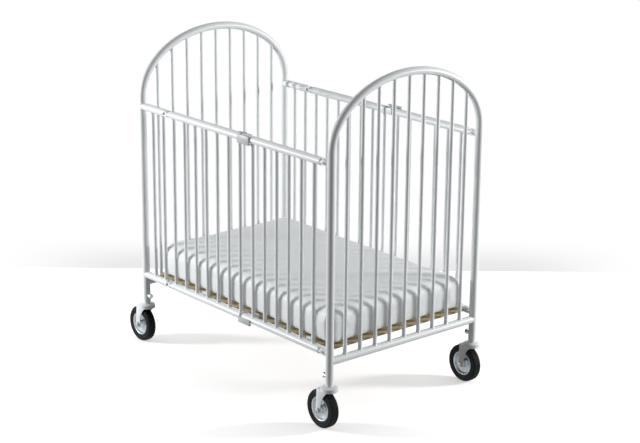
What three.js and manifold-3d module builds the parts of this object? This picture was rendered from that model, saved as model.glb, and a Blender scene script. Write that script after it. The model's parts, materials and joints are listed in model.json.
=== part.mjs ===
// Folding steel crib on casters: two arched spindle ends, two long sides that
// hinge in the middle, a swing-up deck board and a mattress.
// Millimetres, +Z up. X runs along the crib, from end A to end B. The near side is at -Y.
import * as THREE from 'three';
import { mergeVertices } from 'three/addons/utils/BufferGeometryUtils.js';
import Module from 'manifold-3d';

const wasm = await Module();
wasm.setup();

// Overall frame
const SPAN_X = 993; // end A posts to end B posts, centre to centre
const SPAN_Y = 620; // near posts to far posts, centre to centre
const RAIL_TOP_Z = 855; // centre of the upper side rails
const RAIL_LOW_Z = 253; // centre of the lower side rails
const END_RAIL_GAP = 1.6; // lower side rails to the end rails under them
const ARCH_SPRING_Z = 887; // where the posts start to bend
const ARCH_RISE = 210; // height of the arch above its springing

// Tube sizes and gaps
const TUBE_R = 12.7;
const SPINDLE_R = 6.35;
const GAP = 0.3; // clearance between pieces that touch
const OVER = 1; // how far holes and welds run past a face
const TUBE_SIDES = 12;
const SPINDLE_SIDES = 8;
const LUG_SIDES = 12;

// Spindle layout
const END_SPINDLES = 9;
const WING_SPINDLES = 2;
const WING_LAST = 29; // last wing spindle, back from the wing pivot
const LEFT_VERTICALS = 7;
const LEFT_FIRST = 32; // first spindle past the wing pivot
const LEFT_LAST = 11.5; // last upright, back from the middle hinge
const RIGHT_VERTICALS = 6;
const RIGHT_FIRST = 55; // first spindle past the middle hinge
const RIGHT_LAST = 48.5; // last spindle, back from the end B pivot

// Upright pivots where the side halves meet the ends
const WING_LENGTH = 150; // end A posts to the wing pivots
const PIVOT_B_REACH = 31; // end B posts to their pivots
const PIN_R = 4;
const PIN_HEAD_R = 7;
const PIN_HEAD_H = 3;
const LUG_R = 11;
const LUG_T = 4;
const TONGUE_T = 8;
const TUBE_SETBACK = 14; // tube end to pivot axis
const WELD_DEPTH = 8; // length of lug or tongue held in a tube

// Middle hinges of the long sides
const HINGE_OFFSET = 2.5; // hinge axis, inwards from the rail's inner face
const KNUCKLE_R = 5;
const HINGE_PIN_R = 2.5;
const HINGE_HEAD_R = 4;
const HINGE_HEAD_H = 2;
const LEAF_LENGTH = 34;
const LEAF_HEIGHT = 22;
const LEAF_CLEARANCE = 0.8; // flat of the leaf to the other half's knuckle
const RAIL_CLEARANCE = 1.5; // rail end to the knuckle
const KNUCKLES = 3;

// Saddles that bridge the middle joints outside the rails
const SADDLE_BACK = 7; // reach over the left half
const SADDLE_FRONT = 54; // reach over the right half
const SADDLE_T = 4;
const SADDLE_LIP = 5; // reach past the rail, below on the near side
const SADDLE_LEDGE = 5.5; // width of the ledge along the rail
const SADDLE_COVER_UPPER = 0.9; // share of the rail's radius covered on the side away from the lip
const SADDLE_COVER_LOWER = 0.15;

// Deck and mattress
const ROD_R = 5; // cross rod that the deck swings on
const ROD_REACH = 55; // rod past the wing pivots
const HANGER_T = 5;
const HANGER_CLEARANCE = 0.5; // folding rail to the hanger plate
const HANGER_START = 92; // end A posts to the hanger plate's near edge
const HANGER_MARGIN = 12; // plate past the rod centre
const HANGER_HALF = 10; // plate above and below the rod centre
const STRAP_WALL = 2.7;
const STRAP_WIDTH = 40;
const STRAP_LEAF_T = 3;
const STRAP_LEAF_LENGTH = 46;
const STRAP_INSET = 110; // strap centre, in from each side's rail
const BAR_WIDTH = 25;
const BAR_T = 6;
const BARS = 3;
const BAR_FIRST = 125; // first cross bar, past the rod
const BAR_LAST = 113; // last cross bar, before the end B posts
const BAR_SPINDLE_GAP = 1.6; // bar end to spindle
const BAR_DROP = 16; // bars below their ends, which hook over the lower rails
const DECK_T = 6;
const DECK_START = 43; // board edge, from the end A posts
const DECK_END_GAP = 13; // board edge, before the end B posts
const DECK_SIDE_GAP = 3.3; // board to hanger plate
const MATTRESS_T = 123;
const MATTRESS_CROWN = 8;
const MATTRESS_START = 45; // cushion end, from the end A posts
const MATTRESS_END_GAP = 20; // cushion end, before the end B posts
const MATTRESS_SIDE_GAP = 3.5; // widest point of the cushion to hanger plate
const MATTRESS_EDGE_R = 36; // rounding of the long edges
const MATTRESS_CORNER_R = 28; // rounding of the corners seen from above
const MATTRESS_DRAW_IN = 6; // sides pull in this much between the corners
const MATTRESS_LOW_SHARE = 0.3; // lower rounding against the upper one
const MATTRESS_CROWN_SHARE = 0.8; // share of the half width that the crown rises over

// Casters
const WHEEL_R = 63.5;
const TYRE_WIDTH = 30;
const RIM_R = 40;
const RIM_WIDTH = 26;
const RIM_WEB = 9;
const RIM_FLANGE = 7; // web's edge to the rim's outside
const RIM_LIP = 3;
const HUB_R = 12;
const HUB_FLARE = 2;
const TYRE_BEAD = 5;
const TYRE_SHOULDER = 7;
const TREAD_ROUND = 1.5;
const TREAD_ROUND_IN = 3;
const TREAD_SHARE = 0.45; // flat part of the tread
const WHEEL_SIDES = 20;
const WHEEL_GAP = 3; // tyre to fork leg
const CASTER_TRAIL = 30;
const AXLE_R = 4;
const AXLE_HEAD_R = 8;
const AXLE_HEAD_H = 6;
const FORK_T = 3;
const BOSS_R = 11;
const CROWN_R = 29;
const CROWN_T = 5;
const CROWN_TAIL = 8; // crown plate behind its disc
const FORK_ROOT = 18; // front of the fork legs at the crown, ahead of the kingpin
const FORK_SWEEP = 4;
const FORK_SWEEP_DROP = 14;
const TYRE_TO_CROWN = 3;
const KINGPIN_R = 6;
const KINGPIN_HEAD_R = 10;
const KINGPIN_HEAD_H = 3;
const STEM_R = 8;
const STEM_LENGTH = 55;
const RACE_H = 11; // fork crown to the leg's open end
const RACE_R = 28;
const RACE_RIM = 7;
const RACE_TOP_R = 16;
const CLAMP_RISE = 30; // clamp bolt above the leg's lower end
const CLAMP_R = 4;
const CLAMP_COLLAR_R = 7;
const CLAMP_COLLAR_H = 7;
const CLAMP_HEAD_R = 9;
const CLAMP_HEAD_H = 8;

// Sizes that follow from the ones above
const END_RAIL_Z = RAIL_LOW_Z - 2 * TUBE_R - END_RAIL_GAP;
const PIVOT_B_X = SPAN_X - PIVOT_B_REACH;
const ROD_X = WING_LENGTH + ROD_REACH;
const HINGE_X = (WING_LENGTH + PIVOT_B_X) / 2;
const HINGE_REACH = TUBE_R + HINGE_OFFSET;
const LEAF_SETBACK = KNUCKLE_R + LEAF_CLEARANCE;
const HINGE_SETBACK = KNUCKLE_R + RAIL_CLEARANCE;
const HOOK_Z = RAIL_LOW_Z + TUBE_R + GAP; // underside of the bars' hooked ends
const BAR_Z = HOOK_Z + BAR_T / 2 - BAR_DROP;
const DECK_BOTTOM_Z = BAR_Z + BAR_T / 2 + GAP;
const STRAP_R = ROD_R + GAP + STRAP_WALL;
const ROD_Z = DECK_BOTTOM_Z - GAP - STRAP_R;
const DECK_END = SPAN_X - DECK_END_GAP;
const MATTRESS_END = SPAN_X - MATTRESS_END_GAP;
const MATTRESS_BOTTOM_Z = DECK_BOTTOM_Z + DECK_T + GAP;
const HANGER_OUTER = TUBE_R + HANGER_CLEARANCE; // outer face of the hanger, from the rail's centre
const HANGER_INNER = HANGER_OUTER + HANGER_T;
const FORK_INNER = TYRE_WIDTH / 2 + WHEEL_GAP;
const FORK_OUTER = FORK_INNER + FORK_T;
const CROWN_Z = 2 * WHEEL_R + TYRE_TO_CROWN;
const LEG_END_Z = CROWN_Z + CROWN_T + RACE_H; // open lower end of each leg
// The origin is on the floor, under the middle of the whole crib
const ORIGIN_X = (SPAN_X + CROWN_R - CASTER_TRAIL - WHEEL_R) / 2;

const SIDES = [{ name: 'near', out: -1 }, { name: 'far', out: 1 }];
const LEVELS = [
  { name: 'upper', z: RAIL_TOP_Z, cover: SADDLE_COVER_UPPER },
  { name: 'lower', z: RAIL_LOW_Z, cover: SADDLE_COVER_LOWER },
];

// Finishes
const finish = (color, roughness, metalness) => () =>
  new THREE.MeshStandardMaterial({ color, roughness, metalness });
const whiteCoat = finish(0xf0f2f2, 0.35, 0);
const greyCoat = finish(0xb9bebf, 0.4, 0.1);
const zincSteel = finish(0xaab2b8, 0.35, 0.8);
const blackRubber = finish(0x18191a, 0.75, 0);
const hardboard = finish(0x8a6a3a, 0.7, 0);
const vinylCover = finish(0xd9dcde, 0.5, 0);

// Solids: closed three.js geometry in, joined or cut geometry out
function solid(geometry) {
  const bare = geometry.clone();
  bare.deleteAttribute('normal');
  bare.deleteAttribute('uv');
  const merged = mergeVertices(bare);
  return new wasm.Manifold(new wasm.Mesh({
    numProp: 3,
    vertProperties: new Float32Array(merged.attributes.position.array),
    triVerts: new Uint32Array(merged.index.array),
  }));
}

function geometryOf(body) {
  const mesh = body.getMesh();
  const geometry = new THREE.BufferGeometry();
  geometry.setAttribute('position', new THREE.BufferAttribute(mesh.vertProperties, 3));
  geometry.setIndex(new THREE.BufferAttribute(mesh.triVerts, 1));
  geometry.computeVertexNormals();
  return geometry;
}

const join = (bodies) => bodies.reduce((all, body) => all.add(body));
const cut = (body, tools) => tools.reduce((left, tool) => left.subtract(tool), body);

// Round bar along an axis, from one coordinate to another
function bar(axis, radius, from, to, [x, y, z], sides = TUBE_SIDES) {
  const geometry = new THREE.CylinderGeometry(radius, radius, to - from, sides);
  const middle = (from + to) / 2;
  if (axis === 'x') geometry.rotateZ(-Math.PI / 2).translate(middle, y, z);
  if (axis === 'y') geometry.translate(x, middle, z);
  if (axis === 'z') geometry.rotateX(Math.PI / 2).translate(x, y, middle);
  return solid(geometry);
}

// Round hole: its flats, not its corners, keep the clearance round a bar that turns in it
function bore(axis, radius, from, to, place, sides = TUBE_SIDES) {
  return bar(axis, (radius + GAP) / Math.cos(Math.PI / sides), from, to, place, sides);
}

function block([x0, x1], [y0, y1], [z0, z1]) {
  const geometry = new THREE.BoxGeometry(x1 - x0, Math.abs(y1 - y0), z1 - z0);
  return solid(geometry.translate((x0 + x1) / 2, (y0 + y1) / 2, (z0 + z1) / 2));
}

// Turned piece about +Z from [radius, height] points
function turned(points, sides) {
  const profile = points.map(([radius, height]) => new THREE.Vector2(radius, height));
  return new THREE.LatheGeometry(profile, sides).rotateX(Math.PI / 2);
}

// Flat plate lying in the XZ plane, centred on y
function plate(shape, thickness, y, curveSegments = 5) {
  const geometry = new THREE.ExtrudeGeometry(shape, { depth: thickness, bevelEnabled: false, curveSegments });
  return solid(geometry.rotateX(Math.PI / 2).translate(0, y + thickness / 2, 0));
}

const spread = (first, last, count) =>
  Array.from({ length: count }, (_, k) => first + (last - first) * k / Math.max(count - 1, 1));

const crib = new THREE.Group();
crib.position.x = -ORIGIN_X;

function addTo(parent, name, geometry, material) {
  const mesh = new THREE.Mesh(geometry, material());
  mesh.name = name;
  parent.add(mesh);
}

const add = (name, body, material) => addTo(crib, name, geometryOf(body), material);

// Bent hoop of an end: two posts and the arch between them, one tube
class HoopPath extends THREE.Curve {
  constructor(x, arcSteps) {
    super();
    this.x = x;
    this.postShare = 1 / (arcSteps + 2);
  }

  getUtoTmapping(u) {
    return u;
  }

  getPoint(t) {
    const half = SPAN_Y / 2;
    const along = (t - this.postShare) / (1 - 2 * this.postShare);
    const post = ARCH_SPRING_Z - LEG_END_Z;
    const postPoint = (y, share) => new THREE.Vector3(this.x, y, ARCH_SPRING_Z - post * (1 - share));
    if (along < 0) return postPoint(-half, t / this.postShare);
    if (along > 1) return postPoint(half, (1 - t) / this.postShare);
    const angle = Math.PI * (1 - along);
    return new THREE.Vector3(this.x, half * Math.cos(angle), ARCH_SPRING_Z + ARCH_RISE * Math.sin(angle));
  }
}

const HOOP_ARC_STEPS = 20;

function hoopTube(x, radius) {
  const section = new THREE.Shape().absarc(0, 0, radius, 0, 2 * Math.PI);
  return solid(new THREE.ExtrudeGeometry(section, {
    steps: HOOP_ARC_STEPS + 2,
    curveSegments: TUBE_SIDES / 2,
    bevelEnabled: false,
    extrudePath: new HoopPath(x, HOOP_ARC_STEPS),
  }));
}

const archZ = (y) => ARCH_SPRING_Z + ARCH_RISE * Math.sqrt(1 - (2 * y / SPAN_Y) ** 2);
const clampZ = LEG_END_Z + CLAMP_RISE;

// Holes in the feet of a hoop for the caster stems and their clamp bolts
function legHoles(x, inward) {
  return SIDES.flatMap(({ out }) => {
    const y = out * SPAN_Y / 2;
    const wall = [x, x + inward * (TUBE_R + OVER)].sort((a, b) => a - b);
    return [
      bore('z', STEM_R, LEG_END_Z - OVER, LEG_END_Z + STEM_LENGTH + GAP, [x, y, 0]),
      bore('x', CLAMP_R, wall[0], wall[1], [0, y, clampZ], SPINDLE_SIDES),
    ];
  });
}

// Pair of lugs on a rail's end, with the tongue's slot between them
function forkLugs(root, pivotX, y, z) {
  const reach = [Math.min(root, pivotX), Math.max(root, pivotX)];
  const pinHole = bore('z', PIN_R, z - TUBE_R, z + TUBE_R, [pivotX, y, 0], SPINDLE_SIDES);
  return [-1, 1].map((up) => {
    const middle = z + up * (TONGUE_T / 2 + GAP + LUG_T / 2);
    const span = [middle - LUG_T / 2, middle + LUG_T / 2];
    const eye = bar('z', LUG_R, ...span, [pivotX, y, 0], LUG_SIDES);
    return block(reach, [y - LUG_R, y + LUG_R], span).add(eye).subtract(pinHole);
  });
}

// Flat tongue on a rail's end that turns on the pin between two lugs
function tongue(root, pivotX, y, z) {
  const reach = [Math.min(root, pivotX), Math.max(root, pivotX)];
  const span = [z - TONGUE_T / 2, z + TONGUE_T / 2];
  const eye = bar('z', LUG_R, ...span, [pivotX, y, 0], LUG_SIDES);
  const pinHole = bore('z', PIN_R, z - TUBE_R, z + TUBE_R, [pivotX, y, 0], SPINDLE_SIDES);
  return block(reach, [y - LUG_R, y + LUG_R], span).add(eye).subtract(pinHole);
}

// Rivet through a pair of lugs, with a head at each end
function pivotPin(x, y, z) {
  const grip = TONGUE_T / 2 + GAP + LUG_T + GAP;
  const end = grip + PIN_HEAD_H;
  const profile = [[0, -end], [PIN_HEAD_R, -end], [PIN_HEAD_R, -grip], [PIN_R, -grip],
    [PIN_R, grip], [PIN_HEAD_R, grip], [PIN_HEAD_R, end], [0, end]];
  return turned(profile, SPINDLE_SIDES).translate(x, y, z);
}

// Ends A and B: hoop, and the grille welded inside it
for (const [end, x, inward] of [['a', 0, 1], ['b', SPAN_X, -1]]) {
  const lugs = end === 'a' ? [] : SIDES.flatMap(({ out }) =>
    LEVELS.flatMap(({ z }) => forkLugs(SPAN_X - TUBE_R / 2, PIVOT_B_X, out * SPAN_Y / 2, z)));
  add(`end_${end}_hoop`, cut(join([hoopTube(x, TUBE_R), ...lugs]), legHoles(x, inward)), whiteCoat);

  const railEnd = SPAN_Y / 2 - TUBE_R / 2;
  const spindles = Array.from({ length: END_SPINDLES }, (_, k) => {
    const y = SPAN_Y * ((k + 1) / (END_SPINDLES + 1) - 0.5);
    return bar('z', SPINDLE_R, END_RAIL_Z, archZ(y), [x, y, 0], SPINDLE_SIDES);
  });
  const grille = join([bar('y', TUBE_R, -railEnd, railEnd, [x, 0, END_RAIL_Z]), ...spindles]);
  add(`end_${end}_grille`, grille.subtract(hoopTube(x, TUBE_R + GAP)), whiteCoat);
}

// Uprights between the two rails of a side
const uprights = (places, y) => places.map((x) =>
  bar('z', SPINDLE_R, RAIL_LOW_Z, RAIL_TOP_Z, [x, y, 0], SPINDLE_SIDES));

// Wings: short fixed side frames welded to the end A posts
for (const { name, out } of SIDES) {
  const y = out * SPAN_Y / 2;
  const railEnd = WING_LENGTH - TUBE_SETBACK;
  const spindleStep = (WING_LENGTH - WING_LAST) / WING_SPINDLES;
  const spindlePlaces = spread(spindleStep, WING_LENGTH - WING_LAST, WING_SPINDLES);
  const rails = LEVELS.flatMap(({ z }) => [
    bar('x', TUBE_R, TUBE_R / 2, railEnd, [0, y, z]),
    ...forkLugs(railEnd - WELD_DEPTH, WING_LENGTH, y, z),
  ]);
  const inside = (near, far) => [y - out * near, y - out * far].sort((a, b) => a - b);
  const hangerFaces = inside(HANGER_OUTER, HANGER_INNER);
  const hanger = block([HANGER_START, ROD_X + HANGER_MARGIN], hangerFaces,
    [ROD_Z - HANGER_HALF, ROD_Z + HANGER_HALF]);
  const rodHole = bore('y', ROD_R, hangerFaces[0] - OVER, hangerFaces[1] + OVER, [ROD_X, 0, ROD_Z]);
  const weld = block([HANGER_START, railEnd], inside(TUBE_R - OVER, HANGER_OUTER + OVER),
    [RAIL_LOW_Z - TUBE_R / 2, RAIL_LOW_Z + TUBE_R / 2]);
  const frame = join([...rails, ...uprights(spindlePlaces, y), weld, hanger.subtract(rodHole)]);
  add(`${name}_wing`, frame.subtract(hoopTube(0, TUBE_R + GAP)), whiteCoat);
}

// One leaf of a middle hinge with its knuckles. dir is -1 on the left half, 1 on the right.
function hingeLeaf(dir, out, y, z) {
  const axisY = y - out * HINGE_REACH;
  const faces = [y - out * (TUBE_R - OVER), axisY + out * GAP].sort((a, b) => a - b);
  const across = (near, far) => [HINGE_X + dir * near, HINGE_X + dir * far].sort((a, b) => a - b);
  const flat = block(across(LEAF_SETBACK, LEAF_LENGTH), faces, [z - LEAF_HEIGHT / 2, z + LEAF_HEIGHT / 2]);
  const step = LEAF_HEIGHT / KNUCKLES;
  const knuckles = Array.from({ length: KNUCKLES }, (_, k) => k)
    .filter((k) => (k % 2 === 0) === (dir < 0))
    .map((k) => {
      const low = z - LEAF_HEIGHT / 2 + k * step;
      const span = [low + GAP / 2, low + step - GAP / 2];
      const tab = block(across(0, LEAF_SETBACK + OVER), faces, span);
      return tab.add(bar('z', KNUCKLE_R, ...span, [HINGE_X, axisY, 0]));
    });
  const holeSpan = [z - LEAF_HEIGHT, z + LEAF_HEIGHT];
  const pinHole = bore('z', HINGE_PIN_R, ...holeSpan, [HINGE_X, axisY, 0], SPINDLE_SIDES);
  return join([flat, ...knuckles]).subtract(pinHole);
}

function hingePin(out, y, z) {
  const grip = LEAF_HEIGHT / 2 + GAP;
  const end = grip + HINGE_HEAD_H;
  const profile = [[0, -end], [HINGE_HEAD_R, -end], [HINGE_HEAD_R, -grip], [HINGE_PIN_R, -grip],
    [HINGE_PIN_R, grip], [HINGE_HEAD_R, grip], [HINGE_HEAD_R, end], [0, end]];
  return turned(profile, SPINDLE_SIDES).translate(HINGE_X, y - out * HINGE_REACH, z);
}

// Saddle: an angle on the right half that bridges the joint outside the rails and stops it
// from bending inwards, with a lip past the rail.
// The far side uses the same piece turned over, so its lip points up.
function saddle(out, y, z, cover) {
  const length = [HINGE_X - SADDLE_BACK, HINGE_X + SADDLE_FRONT];
  const face = TUBE_R + GAP;
  const from = (middle, near, far) => [middle + out * near, middle + out * far].sort((a, b) => a - b);
  const wallFaces = from(y, face, face + SADDLE_T);
  const heights = from(z, -TUBE_R * cover, TUBE_R + SADDLE_LIP);
  const ledgeFaces = from(y, face + OVER, face - SADDLE_LEDGE);
  const ledgeHeights = from(z, face, face + SADDLE_T);
  return block(length, wallFaces, heights).add(block(length, ledgeFaces, ledgeHeights));
}

// Folding halves of the two long sides
for (const { name, out } of SIDES) {
  const y = out * SPAN_Y / 2;
  const leftEnds = [WING_LENGTH + TUBE_SETBACK, HINGE_X - HINGE_SETBACK];
  const rightEnds = [HINGE_X + HINGE_SETBACK, PIVOT_B_X - TUBE_SETBACK];
  const leftPlaces = spread(WING_LENGTH + LEFT_FIRST, HINGE_X - LEFT_LAST, LEFT_VERTICALS);
  const rightPlaces = spread(HINGE_X + RIGHT_FIRST, PIVOT_B_X - RIGHT_LAST, RIGHT_VERTICALS);
  const left = LEVELS.flatMap(({ z }) => [
    bar('x', TUBE_R, ...leftEnds, [0, y, z]),
    tongue(leftEnds[0] + WELD_DEPTH, WING_LENGTH, y, z),
    hingeLeaf(-1, out, y, z),
  ]);
  const right = LEVELS.flatMap(({ z }) => [
    bar('x', TUBE_R, ...rightEnds, [0, y, z]),
    tongue(rightEnds[1] - WELD_DEPTH, PIVOT_B_X, y, z),
    hingeLeaf(1, out, y, z),
  ]);
  add(`${name}_left_panel`, join([...left, ...uprights(leftPlaces, y)]), whiteCoat);
  add(`${name}_right_panel`, join([...right, ...uprights(rightPlaces, y)]), whiteCoat);
  for (const { name: level, z, cover } of LEVELS) {
    addTo(crib, `${name}_${level}_wing_pin`, pivotPin(WING_LENGTH, y, z), whiteCoat);
    addTo(crib, `${name}_${level}_end_pin`, pivotPin(PIVOT_B_X, y, z), whiteCoat);
    addTo(crib, `${name}_${level}_hinge_pin`, hingePin(out, y, z), zincSteel);
    add(`${name}_${level}_saddle`, saddle(out, y, z, cover), greyCoat);
  }
}

// Deck: cross rod, straps that turn on it, cross bars, board
const rodEnd = SPAN_Y / 2 - HANGER_OUTER - GAP;
add('deck_pivot_rod', bar('y', ROD_R, -rodEnd, rodEnd, [ROD_X, 0, ROD_Z]), zincSteel);
for (const { name, out } of SIDES) {
  const middle = out * (SPAN_Y / 2 - STRAP_INSET);
  const width = [middle - STRAP_WIDTH / 2, middle + STRAP_WIDTH / 2];
  const leafTop = DECK_BOTTOM_Z - GAP;
  const leaf = block([ROD_X, ROD_X + STRAP_LEAF_LENGTH], width, [leafTop - STRAP_LEAF_T, leafTop]);
  const ring = bar('y', STRAP_R, ...width, [ROD_X, 0, ROD_Z]);
  const hole = bore('y', ROD_R, width[0] - OVER, width[1] + OVER, [ROD_X, 0, ROD_Z]);
  add(`${name}_deck_strap`, leaf.add(ring).subtract(hole), zincSteel);
}
// Cross bars lie between the lower rails, their ends stepped up to hook over them
const barEnd = SPAN_Y / 2 - SPINDLE_R - BAR_SPINDLE_GAP;
const stepOut = SPAN_Y / 2 - TUBE_R - GAP;
const stepIn = stepOut - BAR_T;
spread(ROD_X + BAR_FIRST, SPAN_X - BAR_LAST, BARS).forEach((x, k) => {
  const width = [x - BAR_WIDTH / 2, x + BAR_WIDTH / 2];
  const flat = block(width, [-stepOut, stepOut], [BAR_Z - BAR_T / 2, BAR_Z + BAR_T / 2]);
  const ends = SIDES.flatMap(({ out }) => [
    block(width, [out * stepIn, out * stepOut], [BAR_Z - BAR_T / 2, HOOK_Z + BAR_T]),
    block(width, [out * stepIn, out * barEnd], [HOOK_Z, HOOK_Z + BAR_T]),
  ]);
  add(`deck_bar_${k + 1}`, join([flat, ...ends]), whiteCoat);
});
const deckHalf = SPAN_Y / 2 - HANGER_INNER - DECK_SIDE_GAP;
const board = block([DECK_START, DECK_END], [-deckHalf, deckHalf], [DECK_BOTTOM_Z, DECK_BOTTOM_Z + DECK_T]);
add('deck_board', board, hardboard);

// Mattress: rings from the flat base up round the edges to the crowned top
function mattress() {
  const length = MATTRESS_END - MATTRESS_START;
  const halfX = length / 2;
  const halfY = SPAN_Y / 2 - HANGER_INNER - MATTRESS_SIDE_GAP;
  const cornerSteps = 5;
  const sideSteps = 6;
  const outline = [];
  const sideRun = (from, to, pull) => {
    for (let k = 0; k < sideSteps; k += 1) {
      const t = k / sideSteps;
      const bow = MATTRESS_DRAW_IN * 4 * t * (1 - t);
      outline.push([0, 1].map((axis) => from[axis] + (to[axis] - from[axis]) * t + pull[axis] * bow));
    }
  };
  const corner = (cx, cy, start) => {
    for (let k = 0; k < cornerSteps; k += 1) {
      const angle = start + Math.PI / 2 * k / cornerSteps;
      outline.push([cx + MATTRESS_CORNER_R * Math.cos(angle), cy + MATTRESS_CORNER_R * Math.sin(angle)]);
    }
  };
  const cx = halfX - MATTRESS_CORNER_R;
  const cy = halfY - MATTRESS_CORNER_R;
  corner(cx, cy, 0);
  sideRun([cx, halfY], [-cx, halfY], [0, -1]);
  corner(-cx, cy, Math.PI / 2);
  sideRun([-halfX, cy], [-halfX, -cy], [1, 0]);
  corner(-cx, -cy, Math.PI);
  sideRun([-cx, -halfY], [cx, -halfY], [0, 1]);
  corner(cx, -cy, 1.5 * Math.PI);
  sideRun([halfX, -cy], [halfX, cy], [-1, 0]);

  // Each ring is the outline drawn in by inset at a height
  const rings = [];
  const edgeSteps = 4;
  const low = MATTRESS_EDGE_R * MATTRESS_LOW_SHARE;
  const shoulder = MATTRESS_T - MATTRESS_CROWN;
  for (let k = 0; k <= edgeSteps; k += 1) {
    const angle = Math.PI / 2 * k / edgeSteps;
    rings.push([low * (1 - Math.sin(angle)), low * (1 - Math.cos(angle))]);
  }
  for (let k = 0; k <= edgeSteps; k += 1) {
    const angle = Math.PI / 2 * k / edgeSteps;
    rings.push([MATTRESS_EDGE_R * (1 - Math.cos(angle)), shoulder - MATTRESS_EDGE_R * (1 - Math.sin(angle))]);
  }
  const crownSteps = 3;
  const crownRun = halfY * MATTRESS_CROWN_SHARE;
  for (let k = 1; k <= crownSteps; k += 1) {
    const t = k / crownSteps;
    const rise = MATTRESS_CROWN * (1 - (1 - t) ** 2);
    rings.push([MATTRESS_EDGE_R + (crownRun - MATTRESS_EDGE_R) * t, shoulder + rise]);
  }

  const positions = [];
  const index = [];
  const count = outline.length;
  for (const [inset, height] of rings) {
    for (const [x, y] of outline) {
      positions.push(x * (1 - inset / halfX), y * (1 - inset / halfY), height);
    }
  }
  for (let ring = 0; ring + 1 < rings.length; ring += 1) {
    for (let k = 0; k < count; k += 1) {
      const a = ring * count + k;
      const b = ring * count + (k + 1) % count;
      index.push(a, b, b + count, a, b + count, a + count);
    }
  }
  const base = positions.length / 3;
  positions.push(0, 0, 0, 0, 0, MATTRESS_T);
  const top = (rings.length - 1) * count;
  for (let k = 0; k < count; k += 1) {
    index.push(base, (k + 1) % count, k);
    index.push(base + 1, top + k, top + (k + 1) % count);
  }
  const geometry = new THREE.BufferGeometry();
  geometry.setAttribute('position', new THREE.Float32BufferAttribute(positions, 3));
  geometry.setIndex(index);
  geometry.computeVertexNormals();
  return geometry.translate((MATTRESS_START + MATTRESS_END) / 2, 0, MATTRESS_BOTTOM_Z);
}
addTo(crib, 'mattress', mattress(), vinylCover);

// Caster pieces, in a frame with the leg's axis at the origin and the wheel trailing to -X
const flatScale = 1 / Math.cos(Math.PI / WHEEL_SIDES); // puts the tread's flats, not its edges, on the floor

function wheelPiece(points) {
  const profile = points.map(([radius, across]) => new THREE.Vector2(radius * flatScale, across));
  const geometry = new THREE.LatheGeometry(profile, WHEEL_SIDES);
  return geometry.rotateY(Math.PI / WHEEL_SIDES).translate(-CASTER_TRAIL, 0, WHEEL_R);
}

function tyreGeometry() {
  const half = TYRE_WIDTH / 2;
  const seat = RIM_R + GAP;
  const shoulder = half * TREAD_SHARE;
  return wheelPiece([[seat, -RIM_WIDTH / 2], [seat + TYRE_BEAD, -half],
    [WHEEL_R - TYRE_SHOULDER, -half], [WHEEL_R - TREAD_ROUND, TREAD_ROUND_IN - half],
    [WHEEL_R, -shoulder], [WHEEL_R, shoulder], [WHEEL_R - TREAD_ROUND, half - TREAD_ROUND_IN],
    [WHEEL_R - TYRE_SHOULDER, half], [seat + TYRE_BEAD, half], [seat, RIM_WIDTH / 2],
    [seat, -RIM_WIDTH / 2]]);
}

function rimGeometry() {
  const eye = AXLE_R + GAP;
  const hub = FORK_INNER - GAP;
  const web = RIM_WEB / 2;
  const edge = RIM_WIDTH / 2;
  return wheelPiece([[eye, -hub], [HUB_R, -hub], [HUB_R + HUB_FLARE, -web],
    [RIM_R - RIM_FLANGE, -web], [RIM_R - RIM_LIP, -edge], [RIM_R, -edge],
    [RIM_R, edge], [RIM_R - RIM_LIP, edge], [RIM_R - RIM_FLANGE, web], [HUB_R + HUB_FLARE, web],
    [HUB_R, hub], [eye, hub], [eye, -hub]]);
}

function axleGeometry() {
  const grip = FORK_OUTER + GAP;
  const end = grip + AXLE_HEAD_H;
  const profile = [[0, -end], [AXLE_HEAD_R, -end], [AXLE_HEAD_R, -grip], [AXLE_R, -grip],
    [AXLE_R, grip], [AXLE_HEAD_R, grip], [AXLE_HEAD_R, end], [0, end]];
  return turned(profile, SPINDLE_SIDES).rotateX(Math.PI / 2).translate(-CASTER_TRAIL, 0, WHEEL_R);
}

// Stem with its bearing race, riveted through the fork's crown
function stemGeometry() {
  const raceLow = CROWN_Z + CROWN_T + GAP;
  const raceHigh = LEG_END_Z - GAP;
  const headHigh = CROWN_Z - GAP;
  return turned([[0, headHigh - KINGPIN_HEAD_H], [KINGPIN_HEAD_R, headHigh - KINGPIN_HEAD_H],
    [KINGPIN_HEAD_R, headHigh], [KINGPIN_R, headHigh], [KINGPIN_R, raceLow], [RACE_R, raceLow],
    [RACE_R, raceLow + RACE_RIM], [RACE_TOP_R, raceHigh], [STEM_R, raceHigh],
    [STEM_R, LEG_END_Z + STEM_LENGTH], [0, LEG_END_Z + STEM_LENGTH]], TUBE_SIDES);
}

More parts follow.
